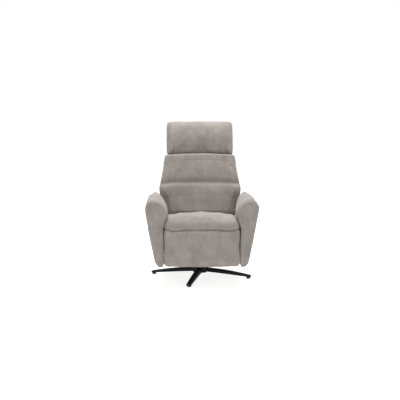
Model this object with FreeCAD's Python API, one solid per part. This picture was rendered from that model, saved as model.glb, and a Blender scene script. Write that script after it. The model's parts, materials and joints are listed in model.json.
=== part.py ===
import FreeCAD, Part
import math
import os

# Swivel lift recliner. Millimetres, +Z up, the chair faces -Y, left is the sitter's left (+X).
# The origin is on the floor, on the swivel axis.

# Fits
turning_gap = 0.05       # radial, pins and shafts that turn or slide
bolt_gap = 0.2           # radial, bolts in their holes
side_gap = 0.3           # between faces that slide past each other
soft_gap = 0.3           # between upholstery and what carries it
open_pivot_gap = 1.2     # radial, the pivot where the lift linkage is opened

# Star base
leg_count = 4
base_turn = 14.2         # degrees from +X towards -Y
leg_reach = 355
leg_root_width = 44
leg_tip_width = 34
leg_chamfer = 7
leg_root_top = 62
leg_root_bottom = 38
leg_knee = 175
leg_knee_top = 52
leg_knee_bottom = 28
leg_tip_top = 23
glide_height = 11
glide_radius = 14
glide_place = 338
hub_half = 46
hub_top = 66
hub_bottom = 34
hub_collar_radius = 32
hub_collar_top = 75
hub_nut_radius = 20
hub_nut_height = 8

# Swivel
spindle_radius = 15
spindle_shoulder = 22
spindle_shoulder_height = 8
bearing_height = 8
housing_radius = 27
housing_flange_radius = 62
housing_flange = 6
plate_bottom = 150
plate_thickness = 6
plate_half = 120
plate_corner = 30
plate_bolt_radius = 4
plate_bolt_circle = 48
plate_bolt_count = 6

# Lift base frame
frame_tube = 25
frame_wall = 2
frame_front = -250
frame_rear = 227
frame_cross_y = 100
motor_cross_y = 202

# Planes of the lift mechanism, from the side plates inwards
bracket_plate = 6
bush_length = 4
link_plate = 6
link_gap = 6
side_plate_thickness = 4
spacer_length = 16
arm_board = 16

# Lift linkage pivots at rest (y, z)
front_base_pivot = (-220, 221)
front_chair_pivot = (-42, 195)
rear_base_pivot = (-100, 234)
rear_chair_pivot = (249, 200)
pin_radius = 8
pin_shoulder = 10
pin_head = 12
pin_head_length = 3
link_end = 16
rear_link_end = 17
torque_tube_radius = 12.5
torque_tube_wall = 3
bush_radius = 19
lift_link_turn = 60      # degrees, front links
rear_link_ratio = 0.7827

# Linear motors
motor_width = 48
motor_start = 16
motor_length = 64
motor_can_radius = 19
motor_can_length = 54
motor_can_place = 46
motor_tube_radius = 15
motor_lug_width = 12
motor_lug_radius = 12
motor_pin_radius = 6
motor_pin_head = 3
rod_radius = 9
eye_width = 8
eye_wall = 6
eye_neck = 36
crank_gap = 0.6
crank_plate = 6
crank_end = 13
crank_boss = 6
lever_boss = 2
lug_plate = 5
lift_motor_x = 0
lift_motor_pivot = (202, 196)
lift_crank = 70
lift_tube_length = 150
recline_motor_x = 102
recline_motor_pivot = (-248, 273)
recline_crank = 90
recline_turn = 40
recline_tube_length = 200
footrest_motor_x = -102
footrest_motor_pivot = (200, 266)
footrest_lever = 62
footrest_turn = 82
footrest_tube_length = 190

# Chair frame
recline_axis = (146, 361)
footrest_axis = (-330, 358)
side_plate_top = 340
side_plate_rear = 268
side_plate_bottom = 179
lightening_holes = [((-195, 285), 22), ((-75, 275), 26), ((40, 270), 30)]
hinge_tube_stop = 3.5
hinge_tube_radius = 12
hinge_pin_length = 36
cross_tube_radius = 12.5
cross_tube_wall = 2
front_tube = (-276, 250)
rear_tube = (230, 262)
seat_rail_width = 36
seat_rail_front = -296
seat_rail_rear = 98
seat_front_rail = -280
seat_cross_rail = 25
seat_board_bottom = 325
seat_board_top = 342
web_inset = 5
web_thickness = 3
web_width = 55
web_count = 5
bolt_radius = 4
bolt_head_radius = 7
bolt_head = 4
spacer_radius = 9
bolt_places = [(-160, 300), (-10, 300), (60, 215), (150, 330)]
control_box_size = (56, 140, 40)
control_box_front = -165
control_box_drop = 2     # below the webbing
control_box_corner = 5

# Seat
seat_half = 241
seat_lap = 5             # seat over the side plates
seat_rear = 72
seat_nose = -405
fold_gap = 4             # seat nose over the footrest
seat_step = -300
seat_crown = 449
seat_shoulder = 22       # in from the rim
seat_shoulder_drop = 24
seat_shoulder_draw = 2
seat_middle_drop = 8     # half way out from the middle
seat_rim_drop = 38
seat_rim_draw = 12
seat_draw_down = 0.4     # share of the draw that lowers the top
seat_draw_up = 0.3       # share of the draw that lifts the nose
seat_brow = -285         # where the top turns down to the nose
seat_middle = -110
seat_bulge = 4
seat_rear_drop = 22
seat_nose_lip = 10
seat_nose_round = 13
seat_nose_lift = 14

# Arms
arm_front = -386
arm_rear = 205
arm_bottom = 146
arm_board_front = -352
arm_board_rear = 188
arm_board_bottom = 152
arm_board_top = 430
arm_board_corner = 25
arm_pad_turn = 24        # the pad's foot wraps so far under the arm board at each end
arm_inner_lap = 5        # foot of the arm pad over the side plate
arm_foot_width = 40      # outwards from the arm board

# Rear apron
apron_bottom = 148
apron_top = 338
apron_thickness = 16
apron_lap = 6            # past the inner face of the arm boards
apron_wing_front = 208
apron_shelf = 12
inlet_inset = 46         # in from the side plate
inlet_height = 195
inlet_radius = 14
inlet_depth = 12         # behind the apron's inner face
inlet_flange = 5
inlet_flange_thickness = 2.5
inlet_socket_wall = 4
inlet_socket_depth = 16
inlet_pin_radius = 2

# Backrest, in its own plane: along the back (v) from seat level, and forwards (w) from its front plane
back_lean = 17
back_foot = (97, 440)
back_cushion_depth = 85
back_board_thickness = 12
back_board_bottom = -18
back_board_top = 421
back_board_inset = 16
back_leg_inner = 138
back_leg_width = 44
back_leg_length = 66
saddle_width = 30
saddle_wall = 5
seam_level = 214
back_top = 425
shell_bottom = -40
shell_levels = [20, 152, 214, 404]
shell_neck = -12         # up to here the shell passes between the side plates
shell_side_gap = 6
shell_inset = 2
shell_rim = 10
shell_rim_end = 8
shell_crown = 8
shell_crown_end = 4
shell_corner = 14
shell_corner_end = 12

# Headrest
head_axis = (475, -45)
head_bottom = 436
head_top = 676
head_board_thickness = 10
head_board_front = -70
head_board_half = 195
head_board_low = 492
head_board_high = 650
head_board_corner = 25
hinge_x = 148
hinge_plate = 5
hinge_pin_radius = 5
hinge_end = 11
hinge_pin_head = 3
hinge_pin_rim = 2
ear_bend = 16            # up from the foot of the head board
ear_foot = 60
ear_corner = 6
ear_room = 2             # around the ears in the head cushion
pocket_drop = 30
pocket_depth = 24
hinge_foot = 60

# Footrest
footrest_taper = 10      # narrower than the seat at the bottom
footrest_top = 388
footrest_low = 150
footrest_front = -387
footrest_crown = 9
footrest_corner = 16
footrest_side_bow = 1
footrest_board_back = -345
footrest_board_thickness = 12
footrest_board_inset = 14
footrest_arm_x = 175
footrest_arm_width = 20
footrest_arm_depth = 12
footrest_arm_low = 158
footrest_arm_front = -343
runner_sheet = 3
runner_low = 162
runner_high = 340
runner_lip = 6

# Controls on the outer face of the right arm
bezel_length = 96
bezel_height = 34
bezel_depth = 10
bezel_proud = 2
bezel_corner = 8
bezel_place = (-215, 430)
button_radius = 7
button_pitch = 21
button_gap = 0.25
button_proud = 3.5
button_depth = 8
button_names = ["lift_button", "lower_button", "recline_button", "footrest_button"]

V = FreeCAD.Vector

# Values that follow from the sizes above
side_inner = seat_half - seat_lap
front_link_outer = side_inner - link_gap
front_link_inner = front_link_outer - link_plate
rear_link_outer = front_link_inner - link_gap
rear_link_inner = rear_link_outer - link_plate
bracket_outer = rear_link_inner - bush_length
bracket_inner = bracket_outer - bracket_plate
side_outer = side_inner + side_plate_thickness
inlet_place = (inlet_inset - side_inner, inlet_height)
arm_board_inner = side_outer + spacer_length
arm_board_outer = arm_board_inner + arm_board
arm_inner_bottom = side_inner + arm_inner_lap
arm_outer_bottom = arm_board_inner + arm_foot_width
apron_half = arm_board_inner + apron_lap
footrest_half_top = seat_half
footrest_half_bottom = footrest_half_top - footrest_taper
seat_nose_under = footrest_top + fold_gap
plate_top = plate_bottom + plate_thickness
frame_top = plate_top + frame_tube
rail_inner = bracket_inner - frame_tube
board_front_w = -back_cushion_depth - 1
board_back_w = board_front_w - back_board_thickness
shell_front_w = board_back_w - soft_gap
lift_crank_turn = lift_link_turn * rear_link_ratio


square_corners = [(-1, -1), (1, -1), (1, 1), (-1, 1)]


def box(x0, x1, y0, y1, z0, z1):
    return Part.makeBox(x1 - x0, y1 - y0, z1 - z0, V(x0, y0, z0))


def bar_x(x0, x1, place, radius):
    return Part.makeCylinder(radius, x1 - x0, V(x0, place[0], place[1]), V(1, 0, 0))


def post(radius, z0, z1, x=0, y=0):
    return Part.makeCylinder(radius, z1 - z0, V(x, y, z0), V(0, 0, 1))


def mirrored(shape):
    return shape.mirror(V(0, 0, 0), V(1, 0, 0))


def both_sides(shape):
    return [shape, mirrored(shape)]


def save(name, *solids):
    flat = []
    for item in solids:
        flat.extend(item if isinstance(item, list) else [item])
    shape = flat[0] if len(flat) == 1 else Part.makeCompound(flat)
    shape.exportStep("parts/" + name + ".step")


def arc(start, middle, end):
    return Part.Arc(start, middle, end).toShape()


def line(start, end):
    return Part.LineSegment(start, end).toShape()


def bowed(start, end, bow, side):
    """Arc from start to end that stands off its chord by bow, towards side."""
    middle = (start + end) * 0.5 + side * bow
    return arc(start, middle, end)


def rounded_outline(corners, radius):
    """Closed wire through the corners (vectors), each rounded by radius."""
    count = len(corners)
    edges = []
    ends = []
    for index, corner in enumerate(corners):
        back = (corners[index - 1] - corner).normalize()
        ahead = (corners[(index + 1) % count] - corner).normalize()
        half = back.getAngle(ahead) / 2
        reach = radius / math.tan(half)
        bisector = (back + ahead).normalize()
        middle = corner + bisector * (radius / math.sin(half) - radius)
        ends.append((corner + back * reach, middle, corner + ahead * reach))
    for index, (start, middle, end) in enumerate(ends):
        edges.append(arc(start, middle, end))
        following = ends[(index + 1) % count][0]
        if (following - end).Length > 1e-6:
            edges.append(line(end, following))
    return Part.Wire(edges)


def plate_x(x0, x1, outline, radius):
    """Plate from x0 to x1 whose outline is given as (y, z) corners."""
    corners = [V(x0, y, z) for y, z in outline]
    return Part.Face(rounded_outline(corners, radius)).extrude(V(x1 - x0, 0, 0))


def strap_x(x0, x1, start, end, radius, end_radius=None):
    """Link plate from x0 to x1 with a round end about each of two (y, z) points."""
    end_radius = end_radius or radius
    p = V(x0, start[0], start[1])
    q = V(x0, end[0], end[1])
    along = (q - p).normalize()
    across = V(1, 0, 0).cross(along)
    edges = [
        line(p + across * radius, q + across * end_radius),
        arc(q + across * end_radius, q + along * end_radius, q - across * end_radius),
        line(q - across * end_radius, p - across * radius),
        arc(p - across * radius, p - along * radius, p + across * radius),
    ]
    return Part.Face(Part.Wire(edges)).extrude(V(x1 - x0, 0, 0))


def turned_x(place, steps):
    """Stepped pin about an X axis at (y, z): steps are (x, x, radius) from one end to the other."""
    profile = [V(steps[0][0], place[0], place[1])]
    for x0, x1, radius in steps:
        profile.append(V(x0, place[0], place[1] + radius))
        profile.append(V(x1, place[0], place[1] + radius))
    profile.append(V(steps[-1][1], place[0], place[1]))
    profile.append(profile[0])
    face = Part.Face(Part.makePolygon(profile))
    return face.revolve(V(0, place[0], place[1]), V(1, 0, 0), 360)


def tube_x(x0, x1, place, radius, bore):
    return bar_x(x0, x1, place, radius).cut(bar_x(x0, x1, place, bore))


def square_tube(x0, x1, y0, y1, z0, z1, along):
    wall = frame_wall
    outer = box(x0, x1, y0, y1, z0, z1)
    if along == "x":
        return outer.cut(box(x0, x1, y0 + wall, y1 - wall, z0 + wall, z1 - wall))
    return outer.cut(box(x0 + wall, x1 - wall, y0, y1, z0 + wall, z1 - wall))


# Star base

def leg_section(distance, width, bottom, top):
    half = width / 2
    chamfer = min(leg_chamfer, (top - bottom) / 2)
    outline = [(-half, bottom), (half, bottom), (half, top - chamfer), (half - chamfer, top),
               (chamfer - half, top), (-half, top - chamfer), (-half, bottom)]
    return Part.makePolygon([V(distance, y, z) for y, z in outline])


def base_leg(angle):
    knee_width = leg_root_width + (leg_tip_width - leg_root_width) * 0.6
    leg = Part.makeLoft([
        leg_section(hub_half, leg_root_width, leg_root_bottom, leg_root_top),
        leg_section(leg_knee, knee_width, leg_knee_bottom, leg_knee_top),
        leg_section(leg_reach, leg_tip_width, glide_height, leg_tip_top),
    ], True, False)
    leg.rotate(V(0, 0, 0), V(0, 0, 1), angle)
    return leg


def leg_angles():
    return [-base_turn - 360 / leg_count * index for index in range(leg_count)]


def base_hub():
    block = box(-hub_half, hub_half, -hub_half, hub_half, hub_bottom, hub_top)
    block = block.makeChamfer(leg_chamfer * 2, [e for e in block.Edges if abs(e.tangentAt(0).z) > 0.9])
    collar_height = hub_collar_top - hub_top
    collar = Part.makeCone(hub_half - leg_chamfer, hub_collar_radius, collar_height, V(0, 0, hub_top))
    hub = block.fuse(collar).cut(post(spindle_radius + bolt_gap, hub_bottom, hub_collar_top))
    hub.rotate(V(0, 0, 0), V(0, 0, 1), -base_turn)
    return hub


def star_base():
    save("base_hub", base_hub())
    save("base_legs", [base_leg(angle) for angle in leg_angles()])
    glides = []
    for angle in leg_angles():
        glide = post(glide_radius, 0, glide_height, glide_place)
        glide = glide.makeFillet(3, [glide.Edges[2]])
        glide.rotate(V(0, 0, 0), V(0, 0, 1), angle)
        glides.append(glide)
    save("foot_glides", glides)
    shoulder_top = hub_collar_top + spindle_shoulder_height
    spindle = post(spindle_radius, hub_bottom - hub_nut_height, plate_bottom - side_gap)
    spindle = spindle.fuse(post(spindle_shoulder, hub_collar_top, shoulder_top))
    save("swivel_spindle", spindle.removeSplitter())
    nut_low = hub_bottom - hub_nut_height
    corners = [V(hub_nut_radius * math.cos(a), hub_nut_radius * math.sin(a), nut_low)
               for a in [math.pi / 3 * index for index in range(6)]]
    nut = Part.Face(Part.makePolygon(corners + corners[:1])).extrude(V(0, 0, hub_nut_height))
    save("hub_nut", nut.cut(post(spindle_radius + turning_gap, nut_low, hub_bottom)))
    race = post(spindle_shoulder + 3, shoulder_top, shoulder_top + bearing_height)
    bore = post(spindle_radius + turning_gap, shoulder_top, shoulder_top + bearing_height)
    save("thrust_bearing", race.cut(bore))


# Turntable: swivel housing, plate and the fixed half of the lift

def bolt_ring(radius, z0, z1):
    ring = []
    for index in range(plate_bolt_count):
        angle = 2 * math.pi * index / plate_bolt_count
        x = plate_bolt_circle * math.cos(angle)
        y = plate_bolt_circle * math.sin(angle)
        ring.append(post(radius, z0, z1, x, y))
    return ring


def turntable():
    housing_low = hub_collar_top + spindle_shoulder_height + bearing_height + side_gap
    flange_low = plate_bottom - housing_flange
    housing = post(housing_radius, housing_low, plate_bottom)
    housing = housing.fuse(post(housing_flange_radius, flange_low, plate_bottom))
    housing = housing.cut(post(spindle_radius + turning_gap, housing_low, plate_bottom))
    holes = bolt_ring(plate_bolt_radius + bolt_gap, flange_low, plate_top)
    save("swivel_housing", housing.cut(holes).removeSplitter())
    corners = [V(x * plate_half, y * plate_half, plate_bottom) for x, y in square_corners]
    plate = Part.Face(rounded_outline(corners, plate_corner)).extrude(V(0, 0, plate_thickness))
    save("base_plate", plate.cut(holes))
    heads = bolt_ring(plate_bolt_radius * 1.8, flange_low - plate_bolt_radius, flange_low)
    shanks = bolt_ring(plate_bolt_radius, flange_low, plate_top)
    save("plate_bolts", [head.fuse(shank) for head, shank in zip(heads, shanks)])

    half = frame_tube / 2
    tubes = [square_tube(-rail_inner, rail_inner, y - half, y + half, plate_top, frame_top, "x")
             for y in (-frame_cross_y, frame_cross_y, motor_cross_y)]
    rail = square_tube(rail_inner, bracket_inner, frame_front, frame_rear, plate_top, frame_top, "y")
    tubes += both_sides(rail)
    carrier = box(-rail_inner, rail_inner, motor_cross_y - half, motor_cross_y + half, plate_top, frame_top)
    tubes += motor_lugs(lift_motor_x, (motor_cross_y, frame_top), lift_motor_pivot, carrier)
    save("lift_base_frame", tubes)

    ay, az = front_base_pivot
    by, bz = rear_base_pivot
    low = plate_top + frame_wall
    bracket = plate_x(bracket_inner, bracket_outer, [
        (ay - 30, low), (by + 55, low), (by + 28, bz + 24), (by - 28, bz + 24),
        (ay + 24, az + 22), (ay - 24, az + 22)], 12)
    bore_radius = torque_tube_radius + turning_gap
    bracket = bracket.cut(bar_x(bracket_inner, bracket_outer, rear_base_pivot, bore_radius))
    save("lift_brackets", both_sides(bracket))
    bush = tube_x(bracket_outer, rear_link_inner - side_gap, rear_base_pivot, bush_radius, bore_radius)
    save("lift_bushes", both_sides(bush))
    stud = turned_x(front_base_pivot, [
        (bracket_outer, front_link_inner - side_gap, pin_shoulder),
        (front_link_inner - side_gap, front_link_outer + side_gap, pin_radius),
        (front_link_outer + side_gap, front_link_outer + side_gap + pin_head_length, pin_head)])
    save("lift_base_pins", both_sides(stud))


# Linear motors. A motor lies on a line from its rear pivot to the eye of its rod. The line is chosen so that
# the crank pin stays on it within the eye's slot while the crank turns.

class MotorLine:
    def __init__(self, x, pivot, crank_centre, crank_radius, crank_turn, below, opens):
        self.x = x
        self.pivot = pivot
        half = math.radians(crank_turn) / 2
        dy = crank_centre[0] - pivot[0]
        dz = crank_centre[1] - pivot[1]
        self.heading = math.copysign(1, dy)
        mean_radius = crank_radius * (1 + math.cos(half)) / 2
        aim = math.asin(mean_radius / math.hypot(dy, dz))
        self.rise = math.atan2(dz, abs(dy)) + (-aim if below else aim)
        self.slot_half = crank_radius * (1 - math.cos(half)) / 2
        # An even stroke runs ahead of the turning pin by at most this, near 0.58 of the half turn
        self.slip = crank_radius * (math.sin(0.58 * half) - 0.58 * math.sin(half))
        middle = math.hypot(dy, dz) * math.cos(aim)
        self.stroke = 2 * crank_radius * math.sin(half)
        self.eye = middle - opens * self.stroke / 2
        along = V(0, self.heading * math.cos(self.rise), math.sin(self.rise))
        self.matrix = FreeCAD.Matrix()
        across = V(self.heading, 0, 0)
        normal = across.cross(along)
        for column, axis in enumerate((across, along, normal)):
            for row, value in enumerate((axis.x, axis.y, axis.z)):
                setattr(self.matrix, "A%d%d" % (row + 1, column + 1), value)
        self.matrix.A14 = x
        self.matrix.A24 = pivot[0]
        self.matrix.A34 = pivot[1]
        side = normal * (-1 if below else 1)
        pin = V(0, pivot[0], pivot[1]) + along * self.eye - side * self.slot_half
        self.pin = (pin.y, pin.z)

    def placed(self, shape):
        shape.Placement = FreeCAD.Placement(self.matrix).multiply(shape.Placement)
        return shape


def motor_body(motor, tube_length):
    """Gear housing with a motor can on its side, an outer tube and a rear lug; y runs along the rod."""
    half = motor_width / 2
    front = motor_start + motor_length
    housing = box(-half, half, motor_start, front, -half, half)
    housing = housing.makeFillet(7, housing.Edges)
    can = Part.makeCylinder(motor_can_radius, motor_can_length + half, V(0, motor_can_place, 0),
                            V(-motor.heading * math.copysign(1, motor.x), 0, 0))
    can = can.makeFillet(3, [edge for edge in can.Edges if abs(edge.CenterOfMass.x) > half + 1])
    tube = Part.makeCylinder(motor_tube_radius, tube_length + 2, V(0, front - 2, 0), V(0, 1, 0))
    lug = strap_x(-motor_lug_width / 2, motor_lug_width / 2, (0, 0), (motor_start + 4, 0), motor_lug_radius)
    body = housing.fuse([can, tube, lug])
    bore = Part.makeCylinder(rod_radius + turning_gap, tube_length, V(0, front, 0), V(0, 1, 0))
    body = body.cut(bore).cut(bar_x(-motor_lug_width, motor_lug_width, (0, 0), motor_pin_radius + bolt_gap))
    return motor.placed(body.removeSplitter())


def motor_rod(motor, opens):
    """Rod with a flat eye at its end; the eye is slotted across the rod for the crank pin."""
    start = motor_start + motor_length + side_gap
    if opens < 0:
        start += motor.stroke
    slot_radius = motor_pin_radius + side_gap + motor.slip
    outer = slot_radius + eye_wall
    eye = motor.eye
    rod = Part.makeCylinder(rod_radius, eye - eye_neck - start, V(0, start, 0), V(0, 1, 0))
    half = eye_width / 2
    high = (eye, motor.slot_half)
    low = (eye, -motor.slot_half)
    plate = strap_x(-half, half, low, high, outer)
    neck_half = math.sqrt(rod_radius ** 2 - half ** 2)
    neck = box(-half, half, eye - eye_neck - rod_radius, eye, -neck_half, neck_half)
    slot = strap_x(-half, half, low, high, slot_radius)
    return motor.placed(rod.fuse([plate, neck]).cut(slot).removeSplitter())


def motor_pin(motor):
    half = motor_lug_width / 2 + crank_gap + lug_plate
    return turned_x(motor.pivot, [
        (motor.x - half - motor_pin_head, motor.x - half, motor_pin_radius * 1.6),
        (motor.x - half, motor.x + half, motor_pin_radius),
        (motor.x + half, motor.x + half + motor_pin_head, motor_pin_radius * 1.6)])


def motor_lugs(x, seat, pivot, carrier):
    """Two lug plates from a frame tube to a motor's rear pivot."""
    inner = motor_lug_width / 2 + crank_gap
    lugs = []
    for x0 in (x - inner - lug_plate, x + inner):
        lug = strap_x(x0, x0 + lug_plate, seat, pivot, motor_lug_radius)
        lug = lug.cut(carrier).cut(bar_x(x0, x0 + lug_plate, pivot, motor_pin_radius + turning_gap))
        lugs.append(max(lug.Solids, key=lambda solid: solid.Volume))
    return lugs


def crank(motor, centre, tube_radius, boss=crank_boss):
    """Crank plate on a turning tube, with the pin that runs in the rod's eye."""
    inner = motor.x + eye_width / 2 + crank_gap
    plate = strap_x(inner, inner + crank_plate, centre, motor.pin, tube_radius + boss, crank_end)
    pin = bar_x(motor.x - eye_width / 2 - crank_gap, inner + 1, motor.pin, motor_pin_radius)
    hole = bar_x(inner, inner + crank_plate, centre, tube_radius)
    return plate.fuse(pin).cut(hole).removeSplitter()


lift_motor = MotorLine(lift_motor_x, lift_motor_pivot, rear_base_pivot, lift_crank, lift_crank_turn, False, 1)
recline_motor = MotorLine(recline_motor_x, recline_motor_pivot, recline_axis, recline_crank, recline_turn,
                          True, -1)
footrest_motor = MotorLine(footrest_motor_x, footrest_motor_pivot, footrest_axis, footrest_lever,
                           footrest_turn, True, 1)


def motors():
    save("lift_motor", motor_body(lift_motor, lift_tube_length))
    save("lift_motor_rod", motor_rod(lift_motor, 1))
    save("lift_motor_pin", motor_pin(lift_motor))
    save("recline_motor", motor_body(recline_motor, recline_tube_length))
    save("recline_motor_rod", motor_rod(recline_motor, -1))
    save("footrest_motor", motor_body(footrest_motor, footrest_tube_length))
    save("footrest_motor_rod", motor_rod(footrest_motor, 1))
    save("chair_motor_pins", motor_pin(recline_motor), motor_pin(footrest_motor))
    for name, motor in (("lift", lift_motor), ("recline", recline_motor), ("footrest", footrest_motor)):
        print(name, "motor: rise %.3f deg, eye %.2f, stroke %.2f, slot +-%.2f, pin %.1f %.1f" % (
            math.degrees(motor.rise), motor.eye, motor.stroke, motor.slot_half, motor.pin[0], motor.pin[1]))


# Lift links

def lift_links():
    front = strap_x(front_link_inner, front_link_outer, front_base_pivot, front_chair_pivot, link_end)
    for pivot in (front_base_pivot, front_chair_pivot):
        front = front.cut(bar_x(front_link_inner, front_link_outer, pivot, pin_radius + turning_gap))
    save("lift_front_links", both_sides(front))
    rear = strap_x(rear_link_inner, rear_link_outer, rear_base_pivot, rear_chair_pivot, rear_link_end + 4,
                   rear_link_end)
    rear = rear.cut(bar_x(rear_link_inner, rear_link_outer, rear_chair_pivot, pin_radius + open_pivot_gap))
    tube = tube_x(-rear_link_inner, rear_link_inner, rear_base_pivot, torque_tube_radius,
                  torque_tube_radius - torque_tube_wall)
    save("lift_rear_links", both_sides(rear), tube, crank(lift_motor, rear_base_pivot, torque_tube_radius))


# Chair frame: side plates, tubes, pins, seat frame, arm frames, apron

def side_plate():
    fy, fz = footrest_axis
    ry, rz = recline_axis
    cy = front_chair_pivot[0]
    plate = plate_x(side_inner, side_outer, [
        (fy - 13, fz + 13), (fy + 14, fz + 13), (seat_rail_front - 6, side_plate_top),
        (ry - 40, side_plate_top), (ry - 26, rz + 18), (ry + 26, rz + 18),
        (apron_wing_front - 8, apron_top - apron_shelf - 6), (side_plate_rear, rz - 70),
        (side_plate_rear, side_plate_bottom), (cy - 22, side_plate_bottom), (cy - 68, front_tube[1] - 18),
        (front_tube[0] - 22, front_tube[1] - 18), (fy - 13, fz - 40)], 6)
    for place, radius in lightening_holes:
        plate = plate.cut(bar_x(side_inner, side_outer, place, radius))
    for place in bolt_places:
        plate = plate.cut(bar_x(side_inner, side_outer, place, bolt_radius + bolt_gap))
    return plate


def chair_pins():
    front = turned_x(front_chair_pivot, [
        (front_link_inner - side_gap - pin_head_length, front_link_inner - side_gap, pin_head),
        (front_link_inner - side_gap, front_link_outer + side_gap, pin_radius),
        (front_link_outer + side_gap, side_inner, pin_shoulder)])
    rear = turned_x(rear_chair_pivot, [
        (rear_link_inner - side_gap - pin_head_length, rear_link_inner - side_gap, pin_head),
        (rear_link_inner - side_gap, rear_link_outer + side_gap, pin_radius),
        (rear_link_outer + side_gap, side_inner, pin_shoulder)])
    hinges = [turned_x(axis, [(side_inner - hinge_pin_length, hinge_tube_end(), pin_radius),
                              (hinge_tube_end(), side_inner, hinge_tube_radius)])
              for axis in (recline_axis, footrest_axis)]
    pins = [front, rear] + hinges
    return pins + [mirrored(pin) for pin in pins]


def hinge_tube_end():
    return side_inner - hinge_tube_stop


def hinge_tube(axis):
    reach = hinge_tube_end() - side_gap
    return tube_x(-reach, reach, axis, hinge_tube_radius, pin_radius + turning_gap)


def chair_frame():
    plate = side_plate()
    save("left_side_plate", plate)
    save("right_side_plate", mirrored(plate))
    tubes = []
    for place, motor in ((front_tube, recline_motor), (rear_tube, footrest_motor)):
        bar = bar_x(-side_inner, side_inner, place, cross_tube_radius)
        tubes.append(bar.cut(bar_x(-side_inner, side_inner, place, cross_tube_radius - cross_tube_wall)))
        tubes += motor_lugs(motor.x, place, motor.pivot, bar)
    save("chair_cross_tubes", tubes)
    save("chair_pivot_pins", chair_pins())

    low = seat_board_bottom
    high = seat_board_top
    rail_x = side_inner - seat_rail_width
    rails = both_sides(box(rail_x, side_inner, seat_rail_front, seat_rail_rear, low, high))
    for y0 in (seat_front_rail, seat_rail_rear - seat_cross_rail):
        rails.append(box(-rail_x, rail_x, y0, y0 + seat_cross_rail, low, high))
    save("seat_frame", rails)
    web_span = seat_rail_rear - seat_rail_front - web_width
    web_half = side_inner - web_inset
    webs = []
    for index in range(web_count):
        y0 = seat_rail_front + web_span * index / (web_count - 1)
        webs.append(box(-web_half, web_half, y0, y0 + web_width, high, high + web_thickness))
    save("seat_webbing", webs)

    length, depth, height = control_box_size
    case_top = high - control_box_drop
    case_rear = control_box_front + depth
    case = box(rail_x - length, rail_x, control_box_front, case_rear, case_top - height, case_top)
    case = case.makeFillet(control_box_corner, [e for e in case.Edges if e.CenterOfMass.x < rail_x - 1])
    save("control_box", case)


def arm_board_solid(grow):
    front = arm_board_front - grow
    rear = arm_board_rear + grow
    low = arm_board_bottom - grow
    high = arm_board_top + grow
    outline = [(front, low), (rear, low), (rear, high), (front, high)]
    return plate_x(arm_board_inner - grow, arm_board_outer + grow, outline, arm_board_corner + grow)


# Arm sections: station y, hip, shoulder, top, inner lobe and neck as (out from the arm board, z), and how far
# the foot of the section is drawn in
arm_stations = [
    (arm_front, (94, 470), (98, 534), (48, 562), (-25, 500), (-1, 398), 8),
    (arm_front + 16, (103, 476), (108, 546), (50, 578), (-34, 502), (-6, 392), 0),
    (arm_front + 180, (105, 478), (111, 540), (58, 580), (-24, 520), (-6, 402), 0),
    (arm_rear - 235, (105, 478), (113, 536), (66, 574), (0, 545), (-5, 420), 0),
    (arm_rear - 35, (103, 476), (110, 524), (84, 560), (38, 560), (-2, 440), 0),
    (arm_rear, (94, 470), (101, 512), (78, 548), (44, 548), (3, 440), 10),
]
arm_side_bow = 3
arm_hip_bow = 3
arm_shoulder_bow = 15
arm_top_bow = 18
arm_lobe_bow = 4


def arm_section(station):
    y, hip, shoulder, top, lobe, neck, inset = station

    def at(x, z):
        return V(x, y, z)

    bottom_in = at(arm_inner_bottom + inset, arm_bottom + inset / 2)
    bottom_out = at(arm_outer_bottom - inset, arm_bottom + inset / 2)
    points = (hip, shoulder, top, lobe, neck)
    hip, shoulder, top, lobe, neck = [at(arm_board_inner + out, z) for out, z in points]
    return Part.Wire([
        line(bottom_in, bottom_out),
        bowed(bottom_out, hip, arm_side_bow, V(0.97, 0, -0.24)),
        bowed(hip, shoulder, arm_hip_bow, V(1, 0, 0)),
        bowed(shoulder, top, arm_shoulder_bow, V(1, 0, 0.4).normalize()),
        bowed(top, lobe, arm_top_bow, V(-0.5, 0, 0.86)),
        bowed(lobe, neck, arm_lobe_bow, V(-0.9, 0, -0.4)),
        line(neck, bottom_in),
    ])


def arm_pad():
    sections = [arm_section(station) for station in arm_stations]
    front = Part.makeLoft(sections[:2], True, True)
    middle = Part.makeLoft(sections[1:-1], True, False)
    rear = Part.makeLoft(sections[-2:], True, True)
    pad = middle.fuse([front, rear])
    pad = pad.cut(arm_board_solid(soft_gap))
    inner = box(0, arm_board_inner + 1, arm_board_front - soft_gap, arm_rear + 1, 0, side_plate_top + 5)
    foot_front = arm_board_front + arm_pad_turn
    foot_rear = arm_board_rear - arm_pad_turn
    below = box(0, arm_board_outer + soft_gap, foot_front, foot_rear, 0, arm_board_bottom + 1)
    pad = pad.cut([inner, below])
    return max(pad.Solids, key=lambda solid: solid.Volume)


class BezelFace:
    """Frame on the outer face of the right arm: up the face, along y, and outwards."""
    def __init__(self):
        self.y, z = bezel_place
        hip = arm_stations[2][1]
        slope = (arm_board_inner + hip[0] - arm_outer_bottom) / (hip[1] - arm_bottom)
        lean = math.atan(slope)
        x = arm_outer_bottom + slope * (z - arm_bottom) + arm_side_bow / 2
        self.up = V(-math.sin(lean), 0, math.cos(lean))
        self.out = V(-math.cos(lean), 0, -math.sin(lean))
        self.origin = V(-x, self.y, z)

    def at(self, y, up, out):
        return self.origin + V(0, y, 0) + self.up * up + self.out * out

    def slab(self, grow, low, high):
        half_y = bezel_length / 2 + grow
        half_up = bezel_height / 2 + grow
        corners = [self.at(y * half_y, u * half_up, low) for y, u in square_corners]
        return Part.Face(rounded_outline(corners, bezel_corner + grow)).extrude(self.out * (high - low))

    def button_place(self, index):
        return (index - (len(button_names) - 1) / 2) * button_pitch

    def cylinder(self, index, radius, low, high):
        return Part.makeCylinder(radius, high - low, self.at(self.button_place(index), 0, low), self.out)


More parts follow.
